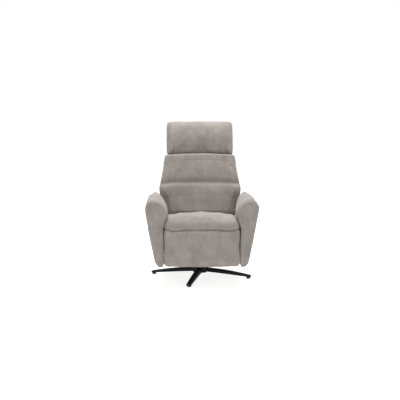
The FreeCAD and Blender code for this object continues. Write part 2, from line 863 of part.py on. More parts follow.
def arms_and_controls():
    board = arm_board_solid(0)
    for place in bolt_places:
        board = board.cut(bar_x(arm_board_inner, arm_board_outer, place, bolt_radius + bolt_gap))
    save("left_arm_frame", board)
    save("right_arm_frame", mirrored(board))
    spacers = []
    bolts = []
    for place in bolt_places:
        spacer = tube_x(side_outer, arm_board_inner, place, spacer_radius, bolt_radius + bolt_gap)
        spacers += both_sides(spacer)
        bolt = turned_x(place, [(side_inner - bolt_head, side_inner, bolt_head_radius),
                                (side_inner, arm_board_outer - 1, bolt_radius)])
        bolts += both_sides(bolt)
    save("arm_spacers", spacers)
    save("arm_bolts", bolts)

    pad = arm_pad()
    save("left_arm_pad", pad)
    face = BezelFace()
    pocket = face.slab(soft_gap, -bezel_depth - soft_gap, bezel_depth * 4)
    save("right_arm_pad", mirrored(pad).cut(pocket))
    bezel = face.slab(0, -bezel_depth, bezel_proud)
    for index, name in enumerate(button_names):
        well = face.cylinder(index, button_radius + button_gap, bezel_proud - button_depth, bezel_proud)
        bezel = bezel.cut(well)
        low = bezel_proud + button_proud - button_depth
        button = face.cylinder(index, button_radius, low, bezel_proud + button_proud)
        button = button.makeFillet(1.2, [max(button.Edges, key=lambda e: face.out.dot(e.CenterOfMass)
                                             if e.Length > button_radius * 3 else -1e9)])
        save(name, button)
    save("control_bezel", bezel)
    print("button axis in", -face.out)
    for index in range(len(button_names)):
        print("button", face.at(face.button_place(index), 0, bezel_proud))


def rear_apron():
    rear = side_plate_rear + apron_thickness
    panel = box(-apron_half, apron_half, side_plate_rear, rear, apron_bottom, apron_top)
    panel = panel.makeFillet(apron_thickness * 0.75, [e for e in panel.Edges
                             if abs(e.CenterOfMass.y - rear) < 0.1 and abs(e.CenterOfMass.x) > 1])
    hole = Part.makeCylinder(inlet_radius + bolt_gap, apron_thickness,
                             V(inlet_place[0], side_plate_rear, inlet_place[1]), V(0, 1, 0))
    shelf_low = apron_top - apron_shelf
    wing_inner = apron_half - apron_thickness
    wing = box(wing_inner, apron_half, apron_wing_front, side_plate_rear, apron_bottom, shelf_low)
    shelf = box(-apron_half, apron_half, apron_wing_front, side_plate_rear, shelf_low, apron_top)
    save("rear_apron", panel.cut(hole), shelf, both_sides(wing))
    outwards = V(0, 1, 0)
    start = V(inlet_place[0], side_plate_rear - inlet_depth, inlet_place[1])
    lip = V(start.x, rear + inlet_flange_thickness, start.z)
    socket_floor = lip - outwards * inlet_socket_depth
    inlet = Part.makeCylinder(inlet_radius, apron_thickness + inlet_depth, start, outwards)
    flange = Part.makeCylinder(inlet_radius + inlet_flange, inlet_flange_thickness, lip, -outwards)
    socket = Part.makeCylinder(inlet_radius - inlet_socket_wall, inlet_socket_depth, socket_floor, outwards)
    pin = Part.makeCylinder(inlet_pin_radius, inlet_socket_depth, socket_floor, outwards)
    save("power_inlet", inlet.fuse(flange).cut(socket).fuse(pin).removeSplitter())


# Upholstery

def seat_section(x, rise, draw):
    """Side profile of the seat at x: rise lifts the top, draw pulls the outline in."""
    def at(y, z):
        return V(x, y, z)
    under = seat_board_top + web_thickness + soft_gap
    rear = seat_rear - draw
    nose = seat_nose + draw
    crown = seat_crown + rise - draw * seat_draw_down
    nose_under = seat_nose_under + draw * seat_draw_up
    top_front = at(seat_brow, crown - seat_bulge)
    top_rear = at(rear, crown - seat_rear_drop)
    nose_low = at(nose + seat_nose_lip, nose_under)
    middle_top = at(seat_middle, crown + seat_bulge)
    nose_middle = at(nose + seat_nose_round, (top_front.z + nose_low.z) / 2 + seat_nose_lift)
    return Part.Wire([
        line(at(seat_step, under), at(rear, under)),
        line(at(rear, under), top_rear),
        arc(top_rear, middle_top, top_front),
        arc(top_front, nose_middle, nose_low),
        line(nose_low, at(seat_step, nose_under)),
        line(at(seat_step, nose_under), at(seat_step, under)),
    ])


def seat_cushion():
    stations = [(seat_half, -seat_rim_drop, seat_rim_draw),
                (seat_half - seat_shoulder, -seat_shoulder_drop, seat_shoulder_draw),
                (seat_half * 0.5, -seat_middle_drop, 0)]
    sections = [seat_section(-x, rise, draw) for x, rise, draw in stations]
    sections.append(seat_section(0, 0, 0))
    sections += [seat_section(x, rise, draw) for x, rise, draw in reversed(stations)]
    cushion = Part.makeLoft(sections, True, False)
    arm = arm_pad()
    arm.translate(V(-soft_gap, 0, 0))
    cushion = cushion.cut(both_sides(arm))
    save("seat_cushion", max(cushion.Solids, key=lambda solid: solid.Volume))


lean = math.radians(back_lean)
back_up = V(0, math.sin(lean), math.cos(lean))
back_out = V(0, -math.cos(lean), math.sin(lean))


def on_back(x, v, w):
    return V(x, back_foot[0], back_foot[1]) + back_up * v + back_out * w


def to_back(place):
    """Along and forward values of a (y, z) place in the plane of the backrest."""
    offset = V(0, place[0] - back_foot[0], place[1] - back_foot[1])
    return offset.dot(back_up), offset.dot(back_out)


def slab_section(level, half, flat, edge, crown, corner):
    """Closed outline across a pad: a flat side at w=flat, rounded sides, a crowned side at w=edge+crown."""
    side_half = half - 5
    front_half = half - corner
    p = [on_back(-side_half, level, flat), on_back(side_half, level, flat),
         on_back(front_half, level, edge), on_back(-front_half, level, edge)]
    bulge = edge + (flat - edge) * 0.42
    return Part.Wire([
        line(p[0], p[1]),
        arc(p[1], on_back(half, level, bulge), p[2]),
        arc(p[2], on_back(0, level, edge + crown), p[3]),
        arc(p[3], on_back(-half, level, bulge), p[0]),
    ])


def slab(levels, flat, ruled=False):
    return Part.makeLoft([slab_section(v, half, flat, edge, crown, corner)
                          for v, half, edge, crown, corner in levels], True, ruled)


# Half width of the backrest at each level, wider than the seat by so much; straight between
back_widths = [(-60, -3), (-25, 4), (10, 9), (90, 26), (152, 43), (190, 43), (seam_level, 38), (320, 17),
               (405, 5), (430, 1)]


def back_half(level):
    for (v0, half0), (v1, half1) in zip(back_widths, back_widths[1:]):
        if level <= v1:
            return seat_half + half0 + (half1 - half0) * (level - v0) / (v1 - v0)
    return seat_half + back_widths[-1][1]


def back_plate_face(levels, inset, w):
    right = [on_back(back_half(v) - inset, v, w) for v in levels]
    left = [on_back(inset - back_half(v), v, w) for v in reversed(levels)]
    return Part.Face(rounded_outline(right + left, 18))


def hinge_tongue(x0):
    """Steel plate on the back board, up to the headrest's axis."""
    ay, aw = head_axis
    low = back_board_top - hinge_foot
    outline = [(low, board_back_w), (low, board_front_w), (back_top + 1, board_front_w),
               (ay - 6, aw + hinge_end), (ay + hinge_end, aw + hinge_end), (ay + hinge_end, aw - hinge_end),
               (back_top, board_back_w)]
    corners = [on_back(x0, v, w) for v, w in outline]
    return Part.Face(rounded_outline(corners, 4)).extrude(V(hinge_plate, 0, 0))


def head_axis_place():
    point = on_back(0, head_axis[0], head_axis[1])
    return (point.y, point.z)


def backrest():
    tongue_x = hinge_x + crank_gap / 2
    tongue = hinge_tongue(tongue_x)
    bore = bar_x(tongue_x, tongue_x + hinge_plate, head_axis_place(), hinge_pin_radius + turning_gap)
    tongue = tongue.cut(bore)
    save("headrest_hinge_plates", both_sides(tongue))

    levels = [back_board_bottom, 90, 152, 214, 320, back_board_top]
    board = back_plate_face(levels, back_board_inset, board_front_w).extrude(back_out * -back_board_thickness)
    leg_x = (back_leg_inner, back_leg_inner + back_leg_width)
    leg_low = back_board_bottom - back_leg_length
    corners = [on_back(leg_x[0], 20, board_front_w), on_back(leg_x[1], 20, board_front_w),
               on_back(leg_x[1], leg_low, board_front_w), on_back(leg_x[0], leg_low, board_front_w)]
    leg = Part.Face(rounded_outline(corners, 10)).extrude(back_out * -back_board_thickness)
    board = board.fuse(both_sides(leg)).cut(both_sides(hinge_tongue(tongue_x)))
    save("back_board", board.removeSplitter())

    tube = hinge_tube(recline_axis)
    save("recline_tube", tube, crank(recline_motor, recline_axis, hinge_tube_radius))
    axis_v, axis_w = to_back(recline_axis)
    reach = hinge_tube_radius + saddle_wall
    middle = leg_x[0] + back_leg_width / 2
    corners = [on_back(middle - saddle_width / 2, axis_v + v, w) for v, w in (
        (-reach, board_front_w), (reach, board_front_w), (reach, axis_w + reach), (-reach, axis_w + reach))]
    saddle = Part.Face(rounded_outline(corners, 3)).extrude(V(saddle_width, 0, 0))
    saddle = saddle.cut(bar_x(0, side_inner, recline_axis, hinge_tube_radius))
    save("tube_saddles", both_sides(max(saddle.Solids, key=lambda solid: solid.Volume)))

    flat = -back_cushion_depth
    seam = soft_gap
    def panel(levels):
        return [(v, back_half(v), edge, crown, corner) for v, edge, crown, corner in levels]

    lower = panel([(-25, -40, 14, 110), (10, -14, 20, 104), (90, -2, 26, 58), (152, 0, 26, 48),
                   (192, -3, 24, 42), (seam_level - seam, -13, 20, 30)])
    upper = panel([(seam_level + seam, -13, 20, 30), (236, -4, 24, 38), (320, 0, 26, 40), (400, -4, 22, 38),
                   (back_top, -20, 14, 26)])
    save("back_cushion_lower", slab(lower, flat))
    save("back_cushion_upper", slab(upper, flat))
    foot_half = side_inner - shell_side_gap
    shell = [(shell_bottom, foot_half, shell_front_w - shell_rim_end, -shell_crown_end, shell_corner_end),
             (shell_neck, foot_half, shell_front_w - shell_rim, -shell_crown, shell_corner)]
    for level in shell_levels:
        half = back_half(level) - shell_inset
        shell.append((level, half, shell_front_w - shell_rim, -shell_crown, shell_corner))
    top_half = back_half(back_top) - shell_inset
    shell.append((back_top, top_half, shell_front_w - shell_rim_end, -shell_crown_end, shell_corner_end))
    save("back_shell", slab(shell, shell_front_w, True))


def headrest():
    ay, aw = head_axis
    back = head_board_front - head_board_thickness
    corners = [on_back(x * head_board_half, v, head_board_front) for x, v in (
        (-1, head_board_low), (1, head_board_low), (1, head_board_high), (-1, head_board_high))]
    board = Part.Face(rounded_outline(corners, head_board_corner)).extrude(back_out * -head_board_thickness)
    ear_x = hinge_x - crank_gap / 2 - hinge_plate
    outline = [(ay - hinge_end, aw - hinge_end), (ay - hinge_end, aw + hinge_end),
               (head_board_low + ear_bend, aw + hinge_end), (head_board_low + ear_foot, head_board_front),
               (head_board_low, head_board_front)]
    corners = [on_back(ear_x, v, w) for v, w in outline]
    ear = Part.Face(rounded_outline(corners, ear_corner)).extrude(V(hinge_plate, 0, 0))
    ear = ear.cut(bar_x(ear_x, ear_x + hinge_plate, head_axis_place(), hinge_pin_radius))
    save("headrest_board", board, both_sides(ear))
    pin_end = hinge_x + crank_gap / 2 + hinge_plate + hinge_pin_rim
    pin = turned_x(head_axis_place(), [(ear_x - hinge_pin_head, ear_x, hinge_pin_radius + hinge_pin_rim),
                                       (ear_x, pin_end, hinge_pin_radius)])
    save("headrest_pins", both_sides(pin))

    def section(level, half, rear, front, crown, corner):
        rear_half = half - corner
        p = [on_back(-rear_half, level, rear), on_back(rear_half, level, rear),
             on_back(half - corner, level, front), on_back(corner - half, level, front)]
        middle = (rear + front) / 2
        return Part.Wire([
            arc(p[0], on_back(0, level, rear - crown * 0.35), p[1]),
            arc(p[1], on_back(half, level, middle), p[2]),
            arc(p[2], on_back(0, level, front + crown), p[3]),
            arc(p[3], on_back(-half, level, middle), p[0]),
        ])

    levels = [(head_bottom, -7, -72, -36, 5, 12), (448, -2, -102, -23, 8, 20), (476, 0, -110, -8, 12, 30),
              (550, 1, -114, 2, 20, 38), (624, -1, -112, -8, 18, 34), (662, -5, -99, -26, 12, 24),
              (head_top, -13, -84, -48, 6, 12)]
    pad = Part.makeLoft([section(level, seat_half + wider, rear, front, crown, corner)
                         for level, wider, rear, front, crown, corner in levels], True, False)
    grow = soft_gap
    slot_half = head_board_half + grow
    slot_low = head_board_low - grow
    slot_high = head_board_high + grow
    corners = [on_back(x, v, head_board_front + grow) for x, v in (
        (-slot_half, slot_low), (slot_half, slot_low), (slot_half, slot_high), (-slot_half, slot_high))]
    slot_depth = head_board_thickness + 2 * grow
    slot = Part.Face(rounded_outline(corners, head_board_corner)).extrude(back_out * -slot_depth)
    pocket_x = ear_x - hinge_pin_head - grow
    pocket_end = pin_end + grow
    front = aw + hinge_end + ear_room
    pocket_rear = back - pocket_depth
    pocket_low = head_bottom - pocket_drop
    pocket_high = head_board_low + ear_foot + 2 * ear_room
    pocket = Part.makePolygon([on_back(pocket_x, v, w) for v, w in (
        (pocket_low, pocket_rear), (pocket_low, front), (head_board_low + ear_bend + ear_room, front),
        (pocket_high, head_board_front + grow), (pocket_high, head_board_front - ear_room),
        (head_board_low - ear_room, pocket_rear), (pocket_low, pocket_rear))])
    pocket = Part.Face(pocket).extrude(V(pocket_end - pocket_x, 0, 0))
    pad = pad.cut([slot] + both_sides(pocket))
    save("headrest_cushion", max(pad.Solids, key=lambda solid: solid.Volume))


# Footrest

def footrest_half(z):
    return footrest_half_bottom + (footrest_half_top - footrest_half_bottom) * (z - footrest_low) / (
        footrest_top - footrest_low)


def footrest_section(z, front, crown, draw):
    half = footrest_half(z) - draw
    back = footrest_board_back - footrest_board_thickness - soft_gap
    face = half - footrest_corner
    side = front * 0.6 + back * 0.4
    p = [V(-half, back, z), V(half, back, z), V(face, front, z), V(-face, front, z)]
    return Part.Wire([
        line(p[0], p[1]),
        arc(p[1], V(half + footrest_side_bow, side, z), p[2]),
        arc(p[2], V(0, front - crown, z), p[3]),
        arc(p[3], V(-half - footrest_side_bow, side, z), p[0]),
    ])


def footrest():
    tube = hinge_tube(footrest_axis)
    half = footrest_arm_width / 2
    arm = box(footrest_arm_x - half, footrest_arm_x + half, footrest_arm_front,
              footrest_arm_front + footrest_arm_depth, footrest_arm_low, footrest_axis[1])
    arm = arm.cut(bar_x(0, side_inner, footrest_axis, hinge_tube_radius))
    arm = max(arm.Solids, key=lambda solid: solid.Volume)
    lever = crank(footrest_motor, footrest_axis, hinge_tube_radius, lever_boss)
    save("footrest_tube", tube, both_sides(arm), lever)

    inset = footrest_board_inset
    back = footrest_board_back
    corners = [(footrest_half(footrest_low) - inset, footrest_low + inset),
               (footrest_half(footrest_top) - inset, footrest_top - inset)]
    outline = [V(-corners[0][0], back, corners[0][1]), V(corners[0][0], back, corners[0][1]),
               V(corners[1][0], back, corners[1][1]), V(-corners[1][0], back, corners[1][1])]
    board = Part.Face(rounded_outline(outline, 20)).extrude(V(0, -footrest_board_thickness, 0))
    save("footrest_board", board)
    front = footrest_front
    pad = Part.makeLoft([
        footrest_section(footrest_low, front + 22, footrest_crown * 0.4, 10),
        footrest_section(footrest_low + 14, front + 3, footrest_crown, 1),
        footrest_section((footrest_low + footrest_top) / 2, front, footrest_crown, 0),
        footrest_section(footrest_top - 16, front + 3, footrest_crown, 1),
        footrest_section(footrest_top, front + 20, footrest_crown * 0.4, 8),
    ], True, False)
    save("footrest_pad", pad)

    inner = half + side_gap
    depth = footrest_arm_front + footrest_arm_depth + side_gap
    lip_rear = depth + runner_sheet
    near = footrest_arm_x - inner
    far = footrest_arm_x + inner
    cheek_in = box(near - runner_sheet, near, back, depth, runner_low, runner_high)
    cheek_out = box(far, far + runner_sheet, back, depth, runner_low, runner_high)
    lip_in = box(near - runner_sheet, near + runner_lip, depth, lip_rear, runner_low, runner_high)
    lip_out = box(far - runner_lip, far + runner_sheet, depth, lip_rear, runner_low, runner_high)
    runner = [cheek_in.fuse(lip_in).removeSplitter(), cheek_out.fuse(lip_out).removeSplitter()]
    save("footrest_runners", runner, [mirrored(part) for part in runner])


os.makedirs("parts", exist_ok=True)
star_base()
turntable()
motors()
lift_links()
chair_frame()
arms_and_controls()
rear_apron()
seat_cushion()
backrest()
headrest()
footrest()
print("recline axis", recline_axis, "headrest axis", head_axis_place(), "footrest axis", footrest_axis)
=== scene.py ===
import bpy
import bmesh
import json
import math
import numpy as np
from mathutils import Euler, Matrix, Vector, noise
from mathutils.bvhtree import BVHTree


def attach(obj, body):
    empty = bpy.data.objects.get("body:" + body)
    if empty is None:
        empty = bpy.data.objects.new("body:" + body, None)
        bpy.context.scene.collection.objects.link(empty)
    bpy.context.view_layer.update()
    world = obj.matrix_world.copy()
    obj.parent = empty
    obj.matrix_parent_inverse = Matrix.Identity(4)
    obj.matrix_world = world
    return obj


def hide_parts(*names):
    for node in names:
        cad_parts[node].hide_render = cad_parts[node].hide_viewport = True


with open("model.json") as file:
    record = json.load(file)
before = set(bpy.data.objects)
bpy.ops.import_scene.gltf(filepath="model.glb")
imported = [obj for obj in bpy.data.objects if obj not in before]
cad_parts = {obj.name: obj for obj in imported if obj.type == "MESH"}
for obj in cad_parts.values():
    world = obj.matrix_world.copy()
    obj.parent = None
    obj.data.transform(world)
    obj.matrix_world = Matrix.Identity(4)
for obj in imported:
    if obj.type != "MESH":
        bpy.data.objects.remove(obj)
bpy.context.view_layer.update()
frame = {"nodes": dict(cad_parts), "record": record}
nodes = frame["nodes"]
scene = bpy.context.scene
scene.view_settings.view_transform = "Standard"

# camera at the photograph's angle, a little above the head cushion
cameraView = {"place": (-0.1213, -5.1486, 1.128), "pitchDown": 6.56, "turn": -1.30, "lens": 67.4,
              "sensor": 36, "far": 60}

camera = bpy.data.objects.new("photoCamera", bpy.data.cameras.new("photoCamera"))
scene.collection.objects.link(camera)
camera.location = cameraView["place"]
cameraPitch = math.radians(90 - cameraView["pitchDown"])
camera.rotation_euler = Euler((cameraPitch, 0, math.radians(cameraView["turn"])))
camera.data.lens = cameraView["lens"]
camera.data.sensor_width = cameraView["sensor"]
camera.data.clip_end = cameraView["far"]
scene.camera = camera


# shader nodes, in short
def addNode(tree, kind, inputs=None, **settings):
    node = tree.nodes.new(kind)
    for key, value in settings.items():
        setattr(node, key, value)
    for key, value in (inputs or {}).items():
        if isinstance(value, bpy.types.NodeSocket):
            tree.links.new(value, node.inputs[key])
        else:
            node.inputs[key].default_value = value
    return node


def mathNode(tree, operation, first, second=0.0):
    return addNode(tree, "ShaderNodeMath", {0: first, 1: second}, operation=operation).outputs[0]


# two values by their shares
def weighted(tree, first, share, second, rest):
    part = mathNode(tree, "MULTIPLY", first, share)
    return mathNode(tree, "ADD", part, mathNode(tree, "MULTIPLY", second, rest))


# a noise value swung about zero
def centred(tree, value, amount):
    return mathNode(tree, "MULTIPLY", mathNode(tree, "SUBTRACT", value, 0.5), amount)


def stretched(tree, place, factors):
    return addNode(tree, "ShaderNodeVectorMath", {0: place, 1: factors}, operation="MULTIPLY").outputs[0]


def noiseNode(tree, place, scale, detail, rough=0.5):
    inputs = {"Vector": place, "Scale": scale, "Detail": detail, "Roughness": rough}
    return addNode(tree, "ShaderNodeTexNoise", inputs).outputs[0]


def mixColour(tree, factor, first, second):
    node = addNode(tree, "ShaderNodeMix", {0: factor, 6: first, 7: second}, data_type="RGBA")
    return node.outputs[2]


def newGroup(name, inputs, outputs):
    group = bpy.data.node_groups.new(name, "ShaderNodeTree")
    for label, kind, value in inputs:
        socket = group.interface.new_socket(label, in_out="INPUT", socket_type=kind)
        if value is not None:
            socket.default_value = value
    for label, kind in outputs:
        group.interface.new_socket(label, in_out="OUTPUT", socket_type=kind)
    return group, group.nodes.new("NodeGroupInput"), group.nodes.new("NodeGroupOutput")


def newMaterial(name):
    material = bpy.data.materials.new(name)
    material.use_nodes = True
    tree = material.node_tree
    return material, tree, tree.nodes["Principled BSDF"]


def objectCoords(tree):
    return addNode(tree, "ShaderNodeTexCoord").outputs["Object"]


# threads over and under in all three directions, flecked yarn and brushed patches of pile
def buildClothGroup():
    group, start, end = newGroup("clothYarn", [
        ("Place", "NodeSocketVector", None), ("Light", "NodeSocketColor", (0.5, 0.48, 0.46, 1)),
        ("Dark", "NodeSocketColor", (0.3, 0.28, 0.26, 1)), ("Pitch", "NodeSocketFloat", 0.0018),
        ("Patch", "NodeSocketFloat", 0.4)],
        [("Colour", "NodeSocketColor"), ("Roughness", "NodeSocketFloat"), ("Height", "NodeSocketFloat")])
    place = start.outputs["Place"]
    turns = mathNode(group, "DIVIDE", math.tau, start.outputs["Pitch"])
    phase = addNode(group, "ShaderNodeVectorMath", {0: place, "Scale": turns}, operation="SCALE").outputs[0]
    split = addNode(group, "ShaderNodeSeparateXYZ", {0: phase})
    waves = [mathNode(group, "SINE", split.outputs[axis]) for axis in range(3)]
    pairs = [mathNode(group, "MULTIPLY", waves[a], waves[b]) for a, b in ((0, 2), (1, 2), (0, 1))]
    weave = mathNode(group, "ADD", mathNode(group, "ADD", pairs[0], pairs[1]), pairs[2])
    fleck = noiseNode(group, place, 620.0, 3.0)
    streak = noiseNode(group, stretched(group, place, (1.0, 1.0, 0.4)), 46.0, 4.0, 0.6)
    cloud = noiseNode(group, place, 12.0, 3.0, 0.55)
    patch = centred(group, weighted(group, streak, 0.35, cloud, 0.65), start.outputs["Patch"])
    yarn = centred(group, fleck, 0.9)
    threads = mathNode(group, "ADD", mathNode(group, "MULTIPLY", weave, 0.06), yarn)
    shade = mathNode(group, "ADD", threads, patch)
    level = addNode(group, "ShaderNodeClamp", {0: mathNode(group, "ADD", shade, 0.5)}).outputs[0]
    colour = mixColour(group, level, start.outputs["Dark"], start.outputs["Light"])
    group.links.new(colour, end.inputs["Colour"])
    rough = mathNode(group, "ADD", mathNode(group, "MULTIPLY", fleck, 0.16), 0.78)
    group.links.new(rough, end.inputs["Roughness"])
    group.links.new(weighted(group, weave, 0.35, fleck, 0.9), end.inputs["Height"])
    return group


# fine speckle of a coated or moulded surface, with rubbed patches
def buildGrainGroup():
    group, start, end = newGroup("surfaceGrain", [
        ("Place", "NodeSocketVector", None), ("Base", "NodeSocketColor", (0.03, 0.03, 0.03, 1)),
        ("Rubbed", "NodeSocketColor", (0.06, 0.06, 0.06, 1)), ("Scale", "NodeSocketFloat", 900.0),
        ("Rough", "NodeSocketFloat", 0.45), ("Spread", "NodeSocketFloat", 0.12)],
        [("Colour", "NodeSocketColor"), ("Roughness", "NodeSocketFloat"), ("Height", "NodeSocketFloat")])
    place = start.outputs["Place"]
    speck = noiseNode(group, place, start.outputs["Scale"], 2.0)
    wear = noiseNode(group, place, 14.0, 5.0, 0.62)
    rubbed = addNode(group, "ShaderNodeMapRange", {0: wear, 1: 0.5, 2: 0.78, 3: 0.0, 4: 0.55}).outputs[0]
    colour = mixColour(group, rubbed, start.outputs["Base"], start.outputs["Rubbed"])
    group.links.new(colour, end.inputs["Colour"])
    swing = centred(group, wear, start.outputs["Spread"])
    tooth = centred(group, speck, start.outputs["Spread"])
    rough = mathNode(group, "ADD", mathNode(group, "ADD", swing, tooth), start.outputs["Rough"])
    group.links.new(rough, end.inputs["Roughness"])
    group.links.new(speck, end.inputs["Height"])
    return group


clothGroup = buildClothGroup()
grainGroup = buildGrainGroup()


def clothMaterial(name, look):
    material, tree, shader = newMaterial(name)
    yarn = addNode(tree, "ShaderNodeGroup", node_tree=clothGroup)
    tree.links.new(objectCoords(tree), yarn.inputs["Place"])
    yarn.inputs["Light"].default_value = look["light"]
    yarn.inputs["Dark"].default_value = look["dark"]
    yarn.inputs["Pitch"].default_value = look["pitch"]
    yarn.inputs["Patch"].default_value = look["patch"]
    bump = addNode(tree, "ShaderNodeBump", {"Strength": look["relief"], "Distance": look["depth"],
                                           "Height": yarn.outputs["Height"]})
    tree.links.new(yarn.outputs["Colour"], shader.inputs["Base Color"])
    tree.links.new(yarn.outputs["Roughness"], shader.inputs["Roughness"])
    tree.links.new(bump.outputs[0], shader.inputs["Normal"])
    shader.inputs["Sheen Weight"].default_value = look["sheen"]
    shader.inputs["Sheen Roughness"].default_value = 0.45
    shader.inputs["Specular IOR Level"].default_value = 0.2
    return material


def grainMaterial(name, look):
    material, tree, shader = newMaterial(name)
    grain = addNode(tree, "ShaderNodeGroup", node_tree=grainGroup)
    tree.links.new(objectCoords(tree), grain.inputs["Place"])
    grain.inputs["Base"].default_value = look["base"]
    grain.inputs["Rubbed"].default_value = look["rubbed"]
    grain.inputs["Scale"].default_value = look["scale"]
    grain.inputs["Rough"].default_value = look["rough"]
    grain.inputs["Spread"].default_value = look["spread"]
    bump = addNode(tree, "ShaderNodeBump", {"Strength": look["relief"], "Distance": look["depth"],
                                           "Height": grain.outputs["Height"]})
    tree.links.new(grain.outputs["Colour"], shader.inputs["Base Color"])
    tree.links.new(grain.outputs["Roughness"], shader.inputs["Roughness"])
    tree.links.new(bump.outputs[0], shader.inputs["Normal"])
    shader.inputs["Metallic"].default_value = look["metal"]
    shader.inputs["Specular IOR Level"].default_value = look.get("gloss", 0.5)
    return material


# birch plywood: veneer rings drawn out along the board, with fine pores
def plywoodMaterial(look):
    material, tree, shader = newMaterial("birchPly")
    along = stretched(tree, objectCoords(tree), look["stretch"])
    rings = addNode(tree, "ShaderNodeTexWave", {"Vector": along, "Scale": 9.0, "Distortion": 7.0,
                                               "Detail": 3.0, "Detail Scale": 1.4}).outputs[1]
    pores = noiseNode(tree, along, 160.0, 3.0)
    mixed = weighted(tree, rings, 0.7, pores, 0.3)
    tree.links.new(mixColour(tree, mixed, look["dark"], look["light"]), shader.inputs["Base Color"])
    rough = mathNode(tree, "ADD", mathNode(tree, "MULTIPLY", pores, 0.2), 0.55)
    tree.links.new(rough, shader.inputs["Roughness"])
    bump = addNode(tree, "ShaderNodeBump", {"Strength": 0.2, "Distance": 0.0004, "Height": mixed})
    tree.links.new(bump.outputs[0], shader.inputs["Normal"])
    return material


fabricLook = {"light": (0.463, 0.42, 0.39, 1), "dark": (0.256, 0.226, 0.208, 1), "pitch": 0.0019,
              "patch": 1.8, "relief": 0.35, "depth": 0.0007, "sheen": 0.25}
threadLook = {"light": (0.43, 0.4, 0.37, 1), "dark": (0.29, 0.265, 0.245, 1), "pitch": 0.0007, "patch": 0.2,
              "relief": 0.4, "depth": 0.0003, "sheen": 0.1}
webLook = {"light": (0.05, 0.05, 0.054, 1), "dark": (0.012, 0.012, 0.014, 1), "pitch": 0.003, "patch": 0.3,
           "relief": 0.6, "depth": 0.0008, "sheen": 0.1}
plyLook = {"light": (0.5, 0.36, 0.21, 1), "dark": (0.33, 0.215, 0.11, 1), "stretch": (1.0, 0.12, 0.35)}
grainLooks = {
    "base_black": {"base": (0.0095, 0.0095, 0.0105, 1), "rubbed": (0.016, 0.016, 0.017, 1), "scale": 1500.0,
                   "rough": 0.6, "spread": 0.1, "relief": 0.12, "depth": 0.0002, "metal": 0.0, "gloss": 0.2},
    "black_steel": {"base": (0.017, 0.017, 0.018, 1), "rubbed": (0.03, 0.03, 0.031, 1), "scale": 1100.0,
                    "rough": 0.46, "spread": 0.16, "relief": 0.15, "depth": 0.0002, "metal": 0.0},
    "zinc_steel": {"base": (0.5, 0.5, 0.49, 1), "rubbed": (0.62, 0.6, 0.56, 1), "scale": 700.0,
                   "rough": 0.34, "spread": 0.2, "relief": 0.08, "depth": 0.0002, "metal": 1.0},
    "black_plastic": {"base": (0.014, 0.014, 0.015, 1), "rubbed": (0.022, 0.022, 0.023, 1), "scale": 1900.0,
                      "rough": 0.52, "spread": 0.14, "relief": 0.25, "depth": 0.0002, "metal": 0.0},
    "nylon": {"base": (0.01, 0.01, 0.011, 1), "rubbed": (0.03, 0.029, 0.028, 1), "scale": 800.0,
              "rough": 0.5, "spread": 0.2, "relief": 0.15, "depth": 0.0002, "metal": 0.0},
    "bronze": {"base": (0.42, 0.26, 0.11, 1), "rubbed": (0.5, 0.34, 0.17, 1), "scale": 600.0,
               "rough": 0.4, "spread": 0.18, "relief": 0.1, "depth": 0.0002, "metal": 1.0},
}

fabric = clothMaterial("warmGreyFabric", fabricLook)
thread = clothMaterial("greyThread", threadLook)
finishes = {slot: grainMaterial(slot + "Finish", look) for slot, look in grainLooks.items()}
finishes["webbing"] = clothMaterial("elasticWebbing", webLook)
finishes["plywood"] = plywoodMaterial(plyLook)
finishes["upholstery"] = fabric
for subpart in frame["record"]["subparts"]:
    node = nodes[subpart["node"]]
    node.data.materials.clear()
    node.data.materials.append(finishes[subpart["material_slot"]])
print("materials:", len(bpy.data.materials))


# directions of the leaning back, as in the frame
backLean = math.radians(17)
backUp = Vector((0, math.sin(backLean), math.cos(backLean)))
backOut = Vector((0, -math.cos(backLean), math.sin(backLean)))
backFoot = Vector((0, 0.097, 0.440))


def onBack(x, along, out):
    return Vector((x, 0, 0)) + backFoot + backUp * along + backOut * out


def toBack(points):
    offset = points - np.array(backFoot)
    return offset @ np.array(backUp), offset @ np.array(backOut)


# upholstery: each pad is a skin taken from its solid, blown up as cloth and held where it lies on a board;
# these are what a pad has unless its own look says otherwise
padCommon = {"weld": 0.00004, "even": 6, "settle": 3, "lie": 0.005, "gap": 0.0012, "reach": 0.03,
             "fillers": (), "taut": (), "shapes": (), "seams": (), "clear": ()}
clothLook = {"quality": 3, "mass": 0.3, "stretch": 15, "shear": 5, "bend": 0.4, "pressure": 4.0, "frames": 20,
             "slide": 0.003, "sink": 0.0005}
rumpleLook = {"broadScale": 6.5, "broad": 0.6, "creaseScale": (24, 10, 8), "creaseShift": (3, 5, 7),
              "crease": 0.4}
puckerLook = {"scale": 26, "shift": 9, "spread": 3.2, "reach": 9}


# rises from 0 at start to 1 a run further on; a run below zero rises the other way
def ramp(values, start, run):
    return np.clip((values - start) / run, 0, 1)


def weldedCopy(sources, name, fillers):
    bm = bmesh.new()
    for source in sources:
        bm.from_mesh(nodes[source].data)
    bmesh.ops.remove_doubles(bm, verts=bm.verts, dist=padCommon["weld"])
    for corner, along, out, across in fillers:
        made = bmesh.ops.create_cube(bm, size=1)
        for vert in made["verts"]:
            share = vert.co + Vector((0.5, 0.5, 0.5))
            vert.co = corner + across * share.x + out * share.y + along * share.z
    mesh = bpy.data.meshes.new(name)
    bm.to_mesh(mesh)
    bm.free()
    piece = bpy.data.objects.new(name, mesh)
    scene.collection.objects.link(piece)
    return piece


def remeshed(piece, size):
    remesh = piece.modifiers.new("skin", "REMESH")
    remesh.mode = "VOXEL"
    remesh.voxel_size = size
    depsgraph = bpy.context.evaluated_depsgraph_get()
    mesh = bpy.data.meshes.new_from_object(piece.evaluated_get(depsgraph))
    piece.modifiers.clear()
    piece.data = mesh


